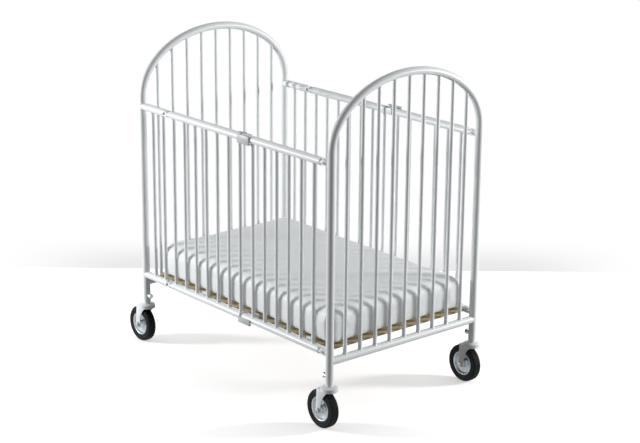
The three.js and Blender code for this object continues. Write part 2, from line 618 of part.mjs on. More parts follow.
// Fork: crown plate and two tapered legs
function forkSolid() {
  const topZ = CROWN_Z + CROWN_T / 2;
  const leg = new THREE.Shape();
  leg.moveTo(FORK_ROOT, topZ);
  const bossFront = -CASTER_TRAIL + BOSS_R;
  leg.quadraticCurveTo(bossFront + FORK_SWEEP, CROWN_Z - FORK_SWEEP_DROP, bossFront, WHEEL_R);
  leg.absarc(-CASTER_TRAIL, WHEEL_R, BOSS_R, 0, -Math.PI, true);
  leg.lineTo(-CROWN_R - CROWN_TAIL, topZ);
  const legY = FORK_INNER + FORK_T / 2;
  const pieces = [plate(leg, FORK_T, -legY), plate(leg, FORK_T, legY)];
  pieces.push(bar('z', CROWN_R, CROWN_Z, CROWN_Z + CROWN_T, [0, 0, 0], WHEEL_SIDES));
  pieces.push(block([-CROWN_R - CROWN_TAIL, 0], [-FORK_OUTER, FORK_OUTER], [CROWN_Z, CROWN_Z + CROWN_T]));
  const kingpinHole = bore('z', KINGPIN_R, CROWN_Z - OVER, CROWN_Z + CROWN_T + OVER, [0, 0, 0]);
  const axleHole = bore('y', AXLE_R, -FORK_OUTER - OVER, FORK_OUTER + OVER, [-CASTER_TRAIL, 0, WHEEL_R]);
  return cut(join(pieces), [kingpinHole, axleHole]);
}

// Clamp bolt that holds the stem in the leg, pointing into the crib
function clampBolt(inward) {
  const tip = STEM_R + 2 * GAP;
  const collar = TUBE_R + GAP;
  const headLow = collar + CLAMP_COLLAR_H;
  const headHigh = headLow + CLAMP_HEAD_H;
  const profile = [[0, tip], [CLAMP_R, tip], [CLAMP_R, collar], [CLAMP_COLLAR_R, collar],
    [CLAMP_COLLAR_R, headLow], [CLAMP_HEAD_R, headLow], [CLAMP_HEAD_R, headHigh], [0, headHigh]];
  return turned(profile, SPINDLE_SIDES).rotateY(inward * Math.PI / 2).translate(0, 0, clampZ);
}

// Four casters, one under each leg
const rim = rimGeometry();
const tyre = tyreGeometry();
const fork = geometryOf(forkSolid());
for (const [end, x, inward] of [['a', 0, 1], ['b', SPAN_X, -1]]) {
  for (const { name, out } of SIDES) {
    const caster = new THREE.Group();
    caster.position.set(x, out * SPAN_Y / 2, 0);
    crib.add(caster);
    const label = `${name}_${end}`;
    addTo(caster, `${label}_clamp_bolt`, clampBolt(inward), zincSteel);
    addTo(caster, `${label}_caster_stem`, stemGeometry(), whiteCoat);
    addTo(caster, `${label}_caster_fork`, fork, whiteCoat);
    addTo(caster, `${label}_axle_bolt`, axleGeometry(), zincSteel);
    addTo(caster, `${label}_wheel_rim`, rim, zincSteel);
    addTo(caster, `${label}_tyre`, tyre, blackRubber);
  }
}

export default crib;
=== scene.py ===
import json
import math

import bmesh
import bpy
from mathutils import Matrix, Vector


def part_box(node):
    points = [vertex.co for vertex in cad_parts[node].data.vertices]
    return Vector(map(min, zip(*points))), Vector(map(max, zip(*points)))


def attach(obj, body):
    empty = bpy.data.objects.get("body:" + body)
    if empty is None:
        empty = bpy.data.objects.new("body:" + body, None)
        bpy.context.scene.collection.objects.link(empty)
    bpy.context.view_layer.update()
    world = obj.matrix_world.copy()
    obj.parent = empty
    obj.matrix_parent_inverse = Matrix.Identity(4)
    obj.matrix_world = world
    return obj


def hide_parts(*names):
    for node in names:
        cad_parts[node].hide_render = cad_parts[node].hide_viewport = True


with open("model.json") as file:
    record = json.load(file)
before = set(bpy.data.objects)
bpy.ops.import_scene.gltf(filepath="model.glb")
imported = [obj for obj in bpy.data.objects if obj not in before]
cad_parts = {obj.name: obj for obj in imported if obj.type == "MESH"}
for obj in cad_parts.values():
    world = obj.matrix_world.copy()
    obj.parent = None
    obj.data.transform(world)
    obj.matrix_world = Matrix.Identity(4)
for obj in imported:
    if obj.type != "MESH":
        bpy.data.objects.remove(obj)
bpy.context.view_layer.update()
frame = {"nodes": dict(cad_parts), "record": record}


# Camera
# A long lens, standing off the near corner of end B and a little above the crib,
# as the photograph was taken. The picture is 640 by 443 pixels.
PICTURE_WIDTH = 640
FOCAL_PIXELS = 1691.9
SENSOR_WIDTH = 36
CAMERA_AT = Vector((4.2304, -3.4721, 2.1340))
CAMERA_TURN = math.radians(139.884)
CAMERA_DIP = math.radians(-16.66)
CAMERA_ROLL = math.radians(0.47)

ahead = Vector((math.cos(CAMERA_DIP) * math.cos(CAMERA_TURN),
                math.cos(CAMERA_DIP) * math.sin(CAMERA_TURN),
                math.sin(CAMERA_DIP)))
level = Vector((math.sin(CAMERA_TURN), -math.cos(CAMERA_TURN), 0))
upright = level.cross(ahead)
picture_right = level * math.cos(CAMERA_ROLL) + upright * math.sin(CAMERA_ROLL)
picture_up = upright * math.cos(CAMERA_ROLL) - level * math.sin(CAMERA_ROLL)
camera = bpy.data.objects.new("camera", bpy.data.cameras.new("camera"))
camera.data.sensor_fit = "HORIZONTAL"
camera.data.sensor_width = SENSOR_WIDTH
camera.data.lens = SENSOR_WIDTH * FOCAL_PIXELS / PICTURE_WIDTH
turn = Matrix((picture_right, picture_up, -ahead)).transposed()
camera.matrix_world = Matrix.Translation(CAMERA_AT) @ turn.to_4x4()
bpy.context.scene.collection.objects.link(camera)
bpy.context.scene.camera = camera
bpy.context.scene.view_settings.view_transform = "Standard"


# Floor and light
# A white studio sweep: a matt floor that ends in a white wall, with a band of painted shade where they meet,
# a lamp well out to each side of the picture, and a dark room behind the lens. Sizes here are in metres.
def linear(colour):
    """Linear RGBA of an sRGB hex colour."""
    parts = [int(colour[k:k + 2], 16) / 255 for k in (1, 3, 5)]
    return [c / 12.92 if c <= 0.04045 else ((c + 0.055) / 1.055) ** 2.4 for c in parts] + [1.0]


def add_node(tree, kind, inputs=None, **settings):
    """Adds a node with its settings, and sets or links its inputs."""
    made = tree.nodes.new(kind)
    for name, value in settings.items():
        setattr(made, name, value)
    for key, value in (inputs or {}).items():
        if isinstance(value, bpy.types.NodeSocket):
            tree.links.new(value, made.inputs[key])
        else:
            made.inputs[key].default_value = value
    return made


FLOOR_SIZE = 30.0
FLOOR_EDGE = 0.98  # where the wall starts, behind the crib's middle along the view
FLOOR_NEAR = 1.3  # distances from the crib's middle between which the floor turns plain white
FLOOR_FAR = 2.1
FLOOR_SHOWN = "#f4f4f4"
FLOOR_THROWN = "#808080"  # it throws back less light than it shows, as if it lay in a dark room
FLOOR_GLOW = 0.41
# Painted shade: the grey at the foot of the wall, darkest at the floor's edge and fading upwards
PAINTED_SHADE_GREY = "#e9e9e9"
BAND_DEPTH = 0.45  # of the soft band of painted shade on the wall, measured as if it lay on the floor
BAND_LAP = 0.03  # the band starts this far in front of the floor's edge
BAND_NEAR = 0.7  # half widths between which the band dies away
BAND_FAR = 1.3
LAMP_OUT = 3.5  # lamps, from the crib's middle to the picture's left and right
LAMP_HEIGHT = 1.1
LAMP_SIZE = 0.5
LAMP_POWER = 106
ROOM_LIGHT = 0.58
LENS_LIGHT = 0.2  # from the dark room behind the lens
LENS_START = -0.1  # cosines, from the way back to the lens, between which the room darkens
LENS_FULL = 0.6


def new_finish(name):
    """New material, with its node tree, its shader and the place on the piece that patterns read."""
    material = bpy.data.materials.new(name)
    material.use_nodes = True
    tree = material.node_tree
    where = add_node(tree, "ShaderNodeTexCoord").outputs["Object"]
    return material, tree, tree.nodes["Principled BSDF"], where


def background_ray(tree):
    """1 for rays from the lens, straight or by way of metal and glass, and 0 for the light itself."""
    kind = add_node(tree, "ShaderNodeLightPath").outputs
    bounced = add_node(tree, "ShaderNodeMath", {0: kind["Is Glossy Ray"], 1: kind["Is Transmission Ray"]},
                       operation="MAXIMUM")
    return add_node(tree, "ShaderNodeMath", {0: kind["Is Camera Ray"], 1: bounced.outputs["Value"]},
                    operation="MAXIMUM").outputs["Value"]


def sweep_paint():
    """Matt white paint round the crib. Past the edge and far out, the white wall shows instead."""
    material, tree, shader, where = new_finish("matt_white_sweep")
    shader.inputs["Roughness"].default_value = 0.9
    shader.inputs["Specular IOR Level"].default_value = 0.0
    along_view = add_node(tree, "ShaderNodeVectorRotate", {"Vector": where, "Angle": -CAMERA_TURN},
                          rotation_type="Z_AXIS")
    place = add_node(tree, "ShaderNodeSeparateXYZ", {"Vector": along_view.outputs["Vector"]}).outputs
    past = add_node(tree, "ShaderNodeMath", {0: place["X"], 1: FLOOR_EDGE}, operation="GREATER_THAN")
    away = add_node(tree, "ShaderNodeVectorMath", {0: where}, operation="LENGTH")
    outside = add_node(tree, "ShaderNodeMapRange",
                       {"Value": away.outputs["Value"], "From Min": FLOOR_NEAR, "From Max": FLOOR_FAR},
                       interpolation_type="SMOOTHSTEP")
    plain = add_node(tree, "ShaderNodeMath", {0: outside.outputs["Result"], 1: past.outputs["Value"]},
                     operation="MAXIMUM")
    seen = background_ray(tree)
    tone = add_node(tree, "ShaderNodeMix",
                    {"Factor": seen, "A": linear(FLOOR_THROWN), "B": linear(FLOOR_SHOWN)}, data_type="RGBA")
    tree.links.new(tone.outputs["Result"], shader.inputs["Base Color"])
    glow = add_node(tree, "ShaderNodeMath", {0: seen, 1: FLOOR_GLOW}, operation="MULTIPLY")
    shader.inputs["Emission Color"].default_value = (1, 1, 1, 1)
    tree.links.new(glow.outputs["Value"], shader.inputs["Emission Strength"])
    wall = add_node(tree, "ShaderNodeBsdfTransparent")
    share = add_node(tree, "ShaderNodeMath", {0: plain.outputs["Value"], 1: seen}, operation="MULTIPLY")
    mixed = add_node(tree, "ShaderNodeMixShader",
                     {0: share.outputs["Value"], 1: shader.outputs["BSDF"], 2: wall.outputs["BSDF"]})
    tree.links.new(mixed.outputs["Shader"], tree.nodes["Material Output"].inputs["Surface"])
    return material


floor_mesh = bpy.data.meshes.new("floor")
floor_half = FLOOR_SIZE / 2
floor_mesh.from_pydata([(-floor_half, -floor_half, 0), (floor_half, -floor_half, 0),
                        (floor_half, floor_half, 0), (-floor_half, floor_half, 0)], [], [(0, 1, 2, 3)])
floor_mesh.materials.append(sweep_paint())
floor = bpy.data.objects.new("floor", floor_mesh)
bpy.context.scene.collection.objects.link(floor)

for name, hand in (("left_lamp", -1), ("right_lamp", 1)):
    lamp = bpy.data.objects.new(name, bpy.data.lights.new(name, "AREA"))
    lamp.data.shape = "DISK"
    lamp.data.size = LAMP_SIZE
    lamp.data.energy = LAMP_POWER
    lamp.location = level * hand * LAMP_OUT + Vector((0, 0, LAMP_HEIGHT))
    lamp.rotation_euler = (level * -hand).to_track_quat("-Z", "Y").to_euler()
    bpy.context.scene.collection.objects.link(lamp)

# The room lights the crib evenly from all round, and less from behind the lens
surround = bpy.data.worlds.new("white_surround")
surround.use_nodes = True
bpy.context.scene.world = surround
sky = surround.node_tree
toward = add_node(sky, "ShaderNodeTexCoord").outputs["Generated"]
to_lens = add_node(sky, "ShaderNodeVectorMath", {0: toward, 1: -ahead}, operation="DOT_PRODUCT")
room = add_node(sky, "ShaderNodeMapRange",
                {"Value": to_lens.outputs["Value"], "From Min": LENS_START, "From Max": LENS_FULL,
                 "To Min": ROOM_LIGHT, "To Max": LENS_LIGHT}, interpolation_type="SMOOTHSTEP")

# What shows of it is the white wall, with a soft grey band of painted shade just above the line where the
# floor ends
wall_reach = FLOOR_EDGE - (CAMERA_AT.x * math.cos(CAMERA_TURN) + CAMERA_AT.y * math.sin(CAMERA_TURN))
along_view = add_node(sky, "ShaderNodeVectorRotate", {"Vector": toward, "Angle": -CAMERA_TURN},
                      rotation_type="Z_AXIS")
course = add_node(sky, "ShaderNodeSeparateXYZ", {"Vector": along_view.outputs["Vector"]}).outputs
slope = add_node(sky, "ShaderNodeMath", {0: course["Z"], 1: course["X"]}, operation="DIVIDE")
fade = add_node(sky, "ShaderNodeMapRange",
                {"Value": slope.outputs["Value"], "From Min": -CAMERA_AT.z / wall_reach,
                 "From Max": -CAMERA_AT.z / (wall_reach + BAND_DEPTH), "To Min": 1.0, "To Max": 0.0},
                interpolation_type="SMOOTHSTEP")
above = add_node(sky, "ShaderNodeMath",
                 {0: slope.outputs["Value"], 1: -CAMERA_AT.z / (wall_reach - BAND_LAP)},
                 operation="GREATER_THAN")
forward = add_node(sky, "ShaderNodeMath", {0: course["X"], 1: 0.0}, operation="GREATER_THAN")
sideways = add_node(sky, "ShaderNodeMath", {0: course["Y"], 1: course["X"]}, operation="DIVIDE")
aside = add_node(sky, "ShaderNodeMath", {0: sideways.outputs["Value"]}, operation="ABSOLUTE")
within = add_node(sky, "ShaderNodeMapRange",
                  {"Value": aside.outputs["Value"], "From Min": BAND_NEAR / wall_reach,
                   "From Max": BAND_FAR / wall_reach, "To Min": 1.0, "To Max": 0.0},
                  interpolation_type="SMOOTHSTEP")
shade_band = fade.outputs["Result"]
for limit in (above.outputs["Value"], forward.outputs["Value"], within.outputs["Result"]):
    shade_band = add_node(sky, "ShaderNodeMath", {0: shade_band, 1: limit}, operation="MULTIPLY").outputs["Value"]
# Painted shade: the white wall turns grey in the band above the floor's edge
shown = add_node(sky, "ShaderNodeMix", {"Factor": shade_band, "A": 1.0, "B": linear(PAINTED_SHADE_GREY)[0]})
seen = background_ray(sky)
strength = add_node(sky, "ShaderNodeMix",
                    {"Factor": seen, "A": room.outputs["Result"], "B": shown.outputs["Result"]})
sky.nodes["Background"].inputs["Color"].default_value = (1, 1, 1, 1)
sky.links.new(strength.outputs["Result"], sky.nodes["Background"].inputs["Strength"])


# End hoops
# Each end is one steel tube bent into two legs and an arch, powder coated white.
# End B's posts carry pairs of welded lugs that the long sides pivot between.
MM = 0.001
TUBE_R = 12.7 * MM
END_SPAN = 993 * MM
POST_Y = 310 * MM
ARCH_SPRING_Z = 887 * MM
ARCH_RISE = 210 * MM
ARCH_STEPS = 56
TUBE_SIDES = 32
RAIL_HEIGHTS = {"upper": 855 * MM, "lower": 253 * MM}
PIVOT_B_BACK = 31 * MM
LUG_R = 11 * MM
LUG_T = 4 * MM
TONGUE_T = 8 * MM
FIT_GAP = 0.3 * MM
EYE_STEPS = 16
EDGE_ROUND = 0.8 * MM
EDGE_ANGLE = math.radians(40)  # corners of a plate sharper than this are rounded
CREASE_ANGLE = math.radians(38)  # edges sharper than this stay crisp
COAT_CLOUD = 90 * MM
COAT_PEEL = 4 * MM  # about 2 mm on a real coat; drawn coarser so that it shows
COAT_PEEL_DEPTH = 0.25 * MM
hoop_low, hoop_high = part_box("end_a_hoop")
END_A_X = (hoop_low.x + hoop_high.x) / 2
END_B_X = END_A_X + END_SPAN
LEG_END_Z = hoop_low.z
SIDES = {"near": -1, "far": 1}


def powder_coat():
    """White polyester powder coat, baked on: a hard, half-gloss skin with faint orange peel."""
    material, tree, shader, where = new_finish("white_powder_coat")
    shader.inputs["IOR"].default_value = 1.5
    cloud = add_node(tree, "ShaderNodeTexNoise", {"Vector": where, "Scale": 1 / COAT_CLOUD, "Detail": 3.0})
    tint = add_node(tree, "ShaderNodeMix",
                    {"Factor": cloud.outputs["Fac"], "A": linear("#dfe3e4"), "B": linear("#e6e9ea")},
                    data_type="RGBA")
    tree.links.new(tint.outputs["Result"], shader.inputs["Base Color"])
    gloss = add_node(tree, "ShaderNodeMapRange",
                     {"Value": cloud.outputs["Fac"], "From Min": 0.3, "From Max": 0.7,
                      "To Min": 0.36, "To Max": 0.46})
    tree.links.new(gloss.outputs["Result"], shader.inputs["Roughness"])
    peel = add_node(tree, "ShaderNodeTexNoise", {"Vector": where, "Scale": 1 / COAT_PEEL, "Detail": 1.0})
    bump = add_node(tree, "ShaderNodeBump",
                    {"Height": peel.outputs["Fac"], "Strength": 0.12, "Distance": COAT_PEEL_DEPTH})
    tree.links.new(bump.outputs["Normal"], shader.inputs["Normal"])
    return material


white_coat = powder_coat()


def named_inputs(name, sockets):
    """New geometry tree with named inputs, and its input node."""
    tree = bpy.data.node_groups.new(name, "GeometryNodeTree")
    for label, kind in sockets.items():
        tree.interface.new_socket(label, in_out="INPUT", socket_type="NodeSocket" + kind)
    tree.interface.new_socket("Geometry", in_out="OUTPUT", socket_type="NodeSocketGeometry")
    return tree, add_node(tree, "NodeGroupInput").outputs


def close_tree(tree, geometry, finish):
    """Ends a geometry tree in real, smooth, painted faces."""
    real = add_node(tree, "GeometryNodeRealizeInstances", {"Geometry": geometry})
    smooth = add_node(tree, "GeometryNodeSetShadeSmooth", {"Geometry": real.outputs["Geometry"]})
    painted = add_node(tree, "GeometryNodeSetMaterial",
                       {"Geometry": smooth.outputs["Geometry"], "Material": finish})
    add_node(tree, "NodeGroupOutput", {"Geometry": painted.outputs["Geometry"]})
    return tree


def tube_tree():
    """Bent or straight tube along a path."""
    tree, given = named_inputs("tube_on_path", {
        "Geometry": "Geometry", "Tube radius": "Float", "Sides": "Int", "Finish": "Material"})
    line = add_node(tree, "GeometryNodeMeshToCurve", {"Mesh": given["Geometry"]})
    ring = add_node(tree, "GeometryNodeCurvePrimitiveCircle",
                    {"Resolution": given["Sides"], "Radius": given["Tube radius"]})
    wall = add_node(tree, "GeometryNodeCurveToMesh",
                    {"Curve": line.outputs["Curve"], "Profile Curve": ring.outputs["Curve"],
                     "Fill Caps": True})
    return close_tree(tree, wall.outputs["Mesh"], given["Finish"])


def grow(tree, values, seed):
    """Runs a geometry tree on a seed mesh, and returns the result as a plain mesh."""
    holder = bpy.data.objects.new("holder", seed)
    bpy.context.scene.collection.objects.link(holder)
    modifier = holder.modifiers.new("grow", "NODES")
    modifier.node_group = tree
    for item in tree.interface.items_tree:
        if item.in_out == "INPUT" and item.name in values:
            modifier[item.identifier] = values[item.name]
    graph = bpy.context.evaluated_depsgraph_get()
    grown = bpy.data.meshes.new_from_object(holder.evaluated_get(graph), depsgraph=graph)
    bpy.data.objects.remove(holder)
    return grown


def path_mesh(points):
    """Chain of edges through points."""
    mesh = bpy.data.meshes.new("path")
    mesh.from_pydata(points, [(k, k + 1) for k in range(len(points) - 1)], [])
    return mesh


tube_on_path = tube_tree()


def tube(points):
    """Coated frame tube through points."""
    sizes = {"Tube radius": TUBE_R, "Sides": TUBE_SIDES, "Finish": white_coat}
    return grow(tube_on_path, sizes, path_mesh(points))


def plate(outline, low, high, axis="z", edge=EDGE_ROUND):
    """Flat piece with rounded edges: the outline lies across the axis, from low to high along it."""
    order = {"x": (2, 0, 1), "y": (0, 2, 1), "z": (0, 1, 2)}[axis]
    shape = bmesh.new()
    rims = [[shape.verts.new([(a, b, along)[k] for k in order]) for a, b in outline] for along in (low, high)]
    shape.faces.new(rims[0][::-1])
    shape.faces.new(rims[1])
    count = len(outline)
    for k in range(count):
        after = (k + 1) % count
        shape.faces.new((rims[0][k], rims[0][after], rims[1][after], rims[1][k]))
    bmesh.ops.recalc_face_normals(shape, faces=shape.faces)
    if edge:
        corners = [e for e in shape.edges if e.calc_face_angle(0) > EDGE_ANGLE]
        bmesh.ops.bevel(shape, geom=corners, offset=edge, segments=2, profile=0.5, affect="EDGES")
    mesh = bpy.data.meshes.new("plate")
    shape.to_mesh(mesh)
    shape.free()
    return mesh


def eye_outline(root, pivot, y):
    """Outline of a lug or tongue in plan: square at the root, round about the pivot."""
    toward = 1 if pivot > root else -1
    arc = [math.pi * (k / EYE_STEPS - 0.5) for k in range(EYE_STEPS + 1)]
    eye = [(pivot + toward * LUG_R * math.cos(a), y + LUG_R * math.sin(a)) for a in arc]
    return [(root, y - LUG_R), *eye, (root, y + LUG_R)]


def lug_pair(root, pivot, y, z):
    """Upper and lower lug, with room for a tongue between them."""
    middle = TONGUE_T / 2 + FIT_GAP + LUG_T / 2
    return [plate(eye_outline(root, pivot, y), z + up * middle - LUG_T / 2, z + up * middle + LUG_T / 2)
            for up in (-1, 1)]


body_of = {node: body for body, nodes in frame["record"]["behaviour"]["bodies"].items() for node in nodes}


def fit(node, meshes, finish, crease=CREASE_ANGLE):
    """Joins meshes into the finished piece that stands for a CAD node, and rides it on its body."""
    shape = bmesh.new()
    for mesh in meshes:
        shape.from_mesh(mesh)
        bpy.data.meshes.remove(mesh)
    bmesh.ops.recalc_face_normals(shape, faces=shape.faces)
    made = bpy.data.meshes.new(node + "_finished")
    shape.to_mesh(made)
    shape.free()
    made.materials.clear()
    made.materials.append(finish)
    made.shade_smooth()
    made.set_sharp_from_angle(angle=crease)
    piece = bpy.data.objects.new(node + "_finished", made)
    bpy.context.scene.collection.objects.link(piece)
    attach(piece, body_of[node])
    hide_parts(node)
    return piece


def hoop_path(x):
    """Up one leg, over the arch and down the other leg."""
    arch = [math.pi * (1 - k / ARCH_STEPS) for k in range(ARCH_STEPS + 1)]
    bend = [(x, POST_Y * math.cos(a), ARCH_SPRING_Z + ARCH_RISE * math.sin(a)) for a in arch]
    return [(x, -POST_Y, LEG_END_Z)] + bend + [(x, POST_Y, LEG_END_Z)]


fit("end_a_hoop", [tube(hoop_path(END_A_X))], white_coat)
lugs = [lug for out in SIDES.values() for z in RAIL_HEIGHTS.values()
        for lug in lug_pair(END_B_X - TUBE_R / 2, END_B_X - PIVOT_B_BACK, out * POST_Y, z)]
fit("end_b_hoop", [tube(hoop_path(END_B_X)), *lugs], white_coat)


# End grilles
# A cross tube low between the legs and round rods up to the arch, all welded in,
# with a small bead of weld under the coat at each end of a rod.
SPINDLE_R = 6.35 * MM
SPINDLE_SIDES = 24
END_SPINDLES = 9
END_RAIL_Z = 226 * MM
WELD_BEAD = 1.6 * MM
WELD_HEIGHT = 4.5 * MM
WELD_SINK = 2.4 * MM


def spindle_tree():
    """Row of upright rods with weld beads, as tall as a flat rail or an arch above them asks."""
    tree, given = named_inputs("spindle_row", {
        "Geometry": "Geometry", "Count": "Int", "First": "Vector", "Step": "Vector", "Height": "Float",
        "Arch rise": "Float", "Arch half width": "Float", "Rod radius": "Float", "Rail radius": "Float",
        "Bead": "Float", "Bead height": "Float", "Bead sink": "Float", "Sides": "Int", "Finish": "Material"})
    row = add_node(tree, "GeometryNodeMeshLine",
                   {"Count": given["Count"], "Start Location": given["First"], "Offset": given["Step"]})
    place = add_node(tree, "GeometryNodeInputPosition").outputs["Position"]
    across = add_node(tree, "ShaderNodeSeparateXYZ", {"Vector": place}).outputs["Y"]
    share = add_node(tree, "ShaderNodeMath", {0: across, 1: given["Arch half width"]}, operation="DIVIDE")
    square = add_node(tree, "ShaderNodeMath", {0: share.outputs["Value"], 1: share.outputs["Value"]},
                      operation="MULTIPLY")
    rest = add_node(tree, "ShaderNodeMath", {0: 1.0, 1: square.outputs["Value"]}, operation="SUBTRACT")
    curve = add_node(tree, "ShaderNodeMath", {0: rest.outputs["Value"]}, operation="SQRT")
    tall = add_node(tree, "ShaderNodeMath",
                    {0: curve.outputs["Value"], 1: given["Arch rise"], 2: given["Height"]},
                    operation="MULTIPLY_ADD")
    # A rod of unit height stands on each point and is stretched to its own height
    rod = add_node(tree, "GeometryNodeMeshCylinder",
                   {"Vertices": given["Sides"], "Radius": given["Rod radius"], "Depth": 1.0})
    stood = add_node(tree, "GeometryNodeTransform",
                     {"Geometry": rod.outputs["Mesh"], "Translation": (0, 0, 0.5)})
    stretch = add_node(tree, "ShaderNodeCombineXYZ", {"X": 1.0, "Y": 1.0, "Z": tall.outputs["Value"]})
    rods = add_node(tree, "GeometryNodeInstanceOnPoints",
                    {"Points": row.outputs["Mesh"], "Instance": stood.outputs["Geometry"],
                     "Scale": stretch.outputs["Vector"]})
    wide = add_node(tree, "ShaderNodeMath", {0: given["Rod radius"], 1: given["Bead"]}, operation="ADD")
    bead = add_node(tree, "GeometryNodeMeshCone",
                    {"Vertices": given["Sides"], "Radius Top": given["Rod radius"],
                     "Radius Bottom": wide.outputs["Value"], "Depth": given["Bead height"]})
    lift = add_node(tree, "ShaderNodeMath", {0: given["Rail radius"], 1: given["Bead sink"]},
                    operation="SUBTRACT")
    foot = add_node(tree, "ShaderNodeCombineXYZ", {"Z": lift.outputs["Value"]})
    feet = add_node(tree, "GeometryNodeSetPosition",
                    {"Geometry": row.outputs["Mesh"], "Offset": foot.outputs["Vector"]})
    foot_beads = add_node(tree, "GeometryNodeInstanceOnPoints",
                          {"Points": feet.outputs["Geometry"], "Instance": bead.outputs["Mesh"]})
    drop = add_node(tree, "ShaderNodeMath", {0: tall.outputs["Value"], 1: lift.outputs["Value"]},
                    operation="SUBTRACT")
    head = add_node(tree, "ShaderNodeCombineXYZ", {"Z": drop.outputs["Value"]})
    heads = add_node(tree, "GeometryNodeSetPosition",
                     {"Geometry": row.outputs["Mesh"], "Offset": head.outputs["Vector"]})
    head_beads = add_node(tree, "GeometryNodeInstanceOnPoints",
                          {"Points": heads.outputs["Geometry"], "Instance": bead.outputs["Mesh"],
                           "Rotation": (math.pi, 0, 0)})
    together = add_node(tree, "GeometryNodeJoinGeometry")
    for part in (rods, foot_beads, head_beads):
        tree.links.new(part.outputs["Instances"], together.inputs["Geometry"])
    return close_tree(tree, together.outputs["Geometry"], given["Finish"])


spindle_row = spindle_tree()


def spindles(first, step, count, height, arch_rise=0.0):
    """Row of coated rods from the first one's foot."""
    return grow(spindle_row, {
        "Count": count, "First": first, "Step": step, "Height": height, "Arch rise": arch_rise,
        "Arch half width": POST_Y, "Rod radius": SPINDLE_R, "Rail radius": TUBE_R, "Bead": WELD_BEAD,
        "Bead height": WELD_HEIGHT, "Bead sink": WELD_SINK, "Sides": SPINDLE_SIDES, "Finish": white_coat},
        bpy.data.meshes.new("row"))


for end, x in (("a", END_A_X), ("b", END_B_X)):
    pitch = 2 * POST_Y / (END_SPINDLES + 1)
    rods = spindles((x, pitch - POST_Y, END_RAIL_Z), (0, pitch, 0), END_SPINDLES,
                    ARCH_SPRING_Z - END_RAIL_Z, ARCH_RISE)
    cross_tube = tube([(x, -POST_Y, END_RAIL_Z), (x, POST_Y, END_RAIL_Z)])
    fit(f"end_{end}_grille", [cross_tube, rods], white_coat)


# Side wings
# Short stubs of the long sides that stay welded to end A's posts: two rails, two rods,
# lugs for the upright pivots, and a flat plate inside that carries the deck's rod.
WING_LENGTH = 150 * MM
WING_RODS = 2
WING_LAST = 29 * MM
TUBE_SETBACK = 14 * MM
WELD_DEPTH = 8 * MM
WELD_LAP = 1 * MM  # welded pieces run this far into each other
HANGER_T = 5 * MM
HANGER_START = 92 * MM
HANGER_MARGIN = 12 * MM
HANGER_HALF = 10 * MM
HANGER_OFF = 13.2 * MM
rail_height = RAIL_HEIGHTS["upper"] - RAIL_HEIGHTS["lower"]
rod_low, rod_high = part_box("deck_pivot_rod")
ROD_X = (rod_low.x + rod_high.x) / 2
ROD_Z = (rod_low.z + rod_high.z) / 2
WING_PIVOT_X = END_A_X + WING_LENGTH


def box_outline(a, b):
    """Rectangle from its two ranges."""
    return [(a[0], b[0]), (a[1], b[0]), (a[1], b[1]), (a[0], b[1])]


for side, out in SIDES.items():
    y = out * POST_Y
    rail_end = WING_PIVOT_X - TUBE_SETBACK
    step = (WING_LENGTH - WING_LAST) / WING_RODS
    parts = [spindles((END_A_X + step, y, RAIL_HEIGHTS["lower"]), (step, 0, 0), WING_RODS, rail_height)]
    for z in RAIL_HEIGHTS.values():
        parts.append(tube([(END_A_X, y, z), (rail_end, y, z)]))
        parts += lug_pair(rail_end - WELD_DEPTH, WING_PIVOT_X, y, z)
    inner = sorted((y - out * HANGER_OFF, y - out * (HANGER_OFF + HANGER_T)))
    hanger = box_outline((END_A_X + HANGER_START, ROD_X + HANGER_MARGIN),
                         (ROD_Z - HANGER_HALF, ROD_Z + HANGER_HALF))
    parts.append(plate(hanger, *inner, axis="y"))
    weld_low = RAIL_HEIGHTS["lower"] - TUBE_R / 2
    weld = box_outline((END_A_X + HANGER_START, rail_end), (weld_low, weld_low + TUBE_R))
    joined = sorted((y - out * (TUBE_R - WELD_LAP), y - out * (HANGER_OFF + WELD_LAP)))
    parts.append(plate(weld, *joined, axis="y", edge=0))
    fit(f"{side}_wing", parts, white_coat)


# Folding side halves
# Each long side is two welded frames of rails and rods. Flat tongues at the outer ends turn
# between the lugs, and butt hinges inside the rails join the two halves in the middle.
PIVOT_B_X = END_B_X - PIVOT_B_BACK
HINGE_X = (WING_PIVOT_X + PIVOT_B_X) / 2
KNUCKLE_R = 5 * MM
HINGE_REACH = TUBE_R + 2.5 * MM
RAIL_SETBACK = 6.5 * MM
LEAF_SETBACK = 5.8 * MM
LEAF_LENGTH = 34 * MM
LEAF_HEIGHT = 22 * MM
KNUCKLES = 3
LEFT_RODS = 7
LEFT_FIRST = 32 * MM
LEFT_LAST = 11.5 * MM
RIGHT_RODS = 6
RIGHT_FIRST = 55 * MM
RIGHT_LAST = 48.5 * MM
TURNED_SIDES = 32


def turned(profile, centre, axis="z", sides=TURNED_SIDES):
    """Turned piece from (radius, height) points; a closed profile makes a ring."""
    closed = profile[0] == profile[-1]
    points = profile[:-1] if closed else profile
    shape = bmesh.new()
    rings = []
    for radius, height in points:
        if radius == 0:
            rings.append([shape.verts.new((0, 0, height))] * sides)
            continue
        angles = [2 * math.pi * k / sides for k in range(sides)]
        rings.append([shape.verts.new((radius * math.cos(a), radius * math.sin(a), height)) for a in angles])
    pairs = list(zip(rings, rings[1:])) + ([(rings[-1], rings[0])] if closed else [])
    for lower, upper in pairs:
        for k in range(sides):
            after = (k + 1) % sides
            corners = dict.fromkeys((lower[k], lower[after], upper[after], upper[k]))
            shape.faces.new(tuple(corners))
    bmesh.ops.recalc_face_normals(shape, faces=shape.faces)
    lay = {"x": Matrix.Rotation(math.pi / 2, 4, "Y"), "y": Matrix.Rotation(-math.pi / 2, 4, "X"),
           "z": Matrix.Identity(4)}[axis]
    shape.transform(Matrix.Translation(centre) @ lay)
    mesh = bpy.data.meshes.new("turned")
    shape.to_mesh(mesh)
    shape.free()
    return mesh


